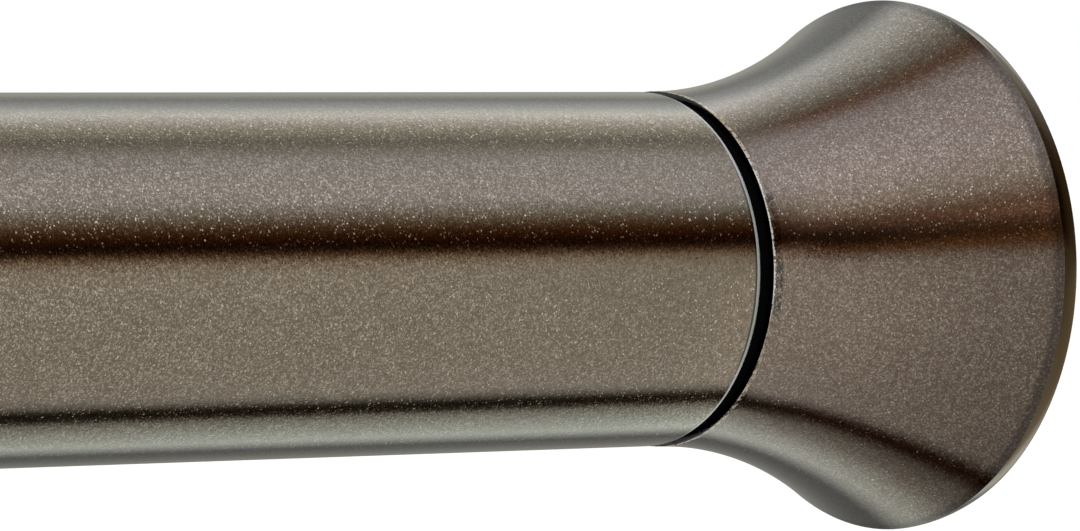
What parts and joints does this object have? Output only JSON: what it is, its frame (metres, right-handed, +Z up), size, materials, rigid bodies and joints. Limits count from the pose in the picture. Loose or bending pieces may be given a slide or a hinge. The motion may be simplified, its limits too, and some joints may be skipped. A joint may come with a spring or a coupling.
{
  "type": "spring tension rod",
  "caption": "Round telescopic tension rod in bronze flake paint with trumpet-shaped end caps and rubber wall pads; an inner spring and a twist screw press it between two walls.",
  "frame": {"origin": "centre of the right end's wall face, the flat face of its rubber pad", "axes": "+X along the rod's axis, out through the right wall face; +Z up, with the rod level; the rod runs along -X from the origin"},
  "size_m": [0.67, 0.0388, 0.0388],
  "materials": {
    "tube_paint": "fine metallic flake, satin",
    "cap_paint": "fine metallic flake paint, satin",
    "pad_rubber": "matt",
    "black_plastic": "matt",
    "natural_nylon": "satin",
    "wedge_metal": "as cast",
    "bright_steel": "zinc plated",
    "spring_steel": "oiled"
  },
  "bodies": {
    "right_cap": {"right_end_cap": "cap_paint", "right_wall_pad": "pad_rubber"},
    "outer_tube": {"outer_tube": "tube_paint", "right_tube_plug": "black_plastic", "right_cap_washer": "bright_steel", "right_cap_screw": "bright_steel", "mouth_bush": "black_plastic"},
    "lock": {"lock_body": "black_plastic"},
    "wedge": {"lock_wedge": "wedge_metal", "wedge_washer": "bright_steel", "tension_spring": "spring_steel"},
    "jaw_1": {"lock_jaw_1": "natural_nylon"},
    "jaw_2": {"lock_jaw_2": "natural_nylon"},
    "jaw_3": {"lock_jaw_3": "natural_nylon"},
    "spindle": {"spindle": "bright_steel", "spring_collar": "bright_steel", "collar_pin": "bright_steel", "collar_washer": "bright_steel", "stop_washer": "bright_steel", "spindle_clip": "spring_steel"},
    "guide_ring": {"guide_ring": "natural_nylon"},
    "inner_tube": {"inner_tube": "tube_paint", "drive_nut": "black_plastic", "nut_rivet_1": "bright_steel", "nut_rivet_2": "bright_steel", "left_tube_plug": "black_plastic", "left_cap_washer": "bright_steel", "left_cap_screw": "bright_steel"},
    "left_cap": {"left_end_cap": "cap_paint", "left_wall_pad": "pad_rubber"}
  },
  "joints": [
    {"name": "right_swivel", "type": "hinge", "parent": "right_cap", "child": "outer_tube", "pos_m": [-0.02467, 0, 0], "axis": [1, 0, 0], "continuous": true},
    {"name": "telescope", "type": "slide", "parent": "outer_tube", "child": "lock", "axis": [-1, 0, 0], "range_m": [-0.06, 0.245]},
    {"name": "wedge_press", "type": "slide", "parent": "lock", "child": "wedge", "axis": [1, 0, 0], "range_m": [0, 0.0019]},
    {"name": "jaw_1_grip", "type": "slide", "parent": "lock", "child": "jaw_1", "axis": [0, 0, 1], "range_m": [0, 0.00029]},
    {"name": "jaw_2_grip", "type": "slide", "parent": "lock", "child": "jaw_2", "axis": [0, -0.866, -0.5], "range_m": [0, 0.00029]},
    {"name": "jaw_3_grip", "type": "slide", "parent": "lock", "child": "jaw_3", "axis": [0, 0.866, -0.5], "range_m": [0, 0.00029]},
    {"name": "spring_travel", "type": "slide", "parent": "lock", "child": "spindle", "axis": [1, 0, 0], "range_m": [0, 0.02], "stiffness_N_per_m": 1500, "springref_m": -0.01, "deforming": ["tension_spring"]},
    {"name": "screw_feed", "type": "slide", "parent": "spindle", "child": "guide_ring", "axis": [-1, 0, 0], "range_m": [0, 0.0181]},
    {"name": "twist", "type": "hinge", "parent": "guide_ring", "child": "inner_tube", "pos_m": [-0.24, 0, 0], "axis": [-1, 0, 0], "range_deg": [0, 1080]},
    {"name": "left_swivel", "type": "hinge", "parent": "inner_tube", "child": "left_cap", "pos_m": [-0.64533, 0, 0], "axis": [-1, 0, 0], "continuous": true}
  ],
  "couplings": [
    {"joint": "wedge_press", "follows": "spring_travel", "ratio": 0.093333},
    {"joint": "jaw_1_grip", "follows": "spring_travel", "ratio": 0.014},
    {"joint": "jaw_2_grip", "follows": "spring_travel", "ratio": 0.014},
    {"joint": "jaw_3_grip", "follows": "spring_travel", "ratio": 0.014},
    {"joint": "screw_feed", "follows": "twist", "m_per_rad": 0.00095493}
  ]
}
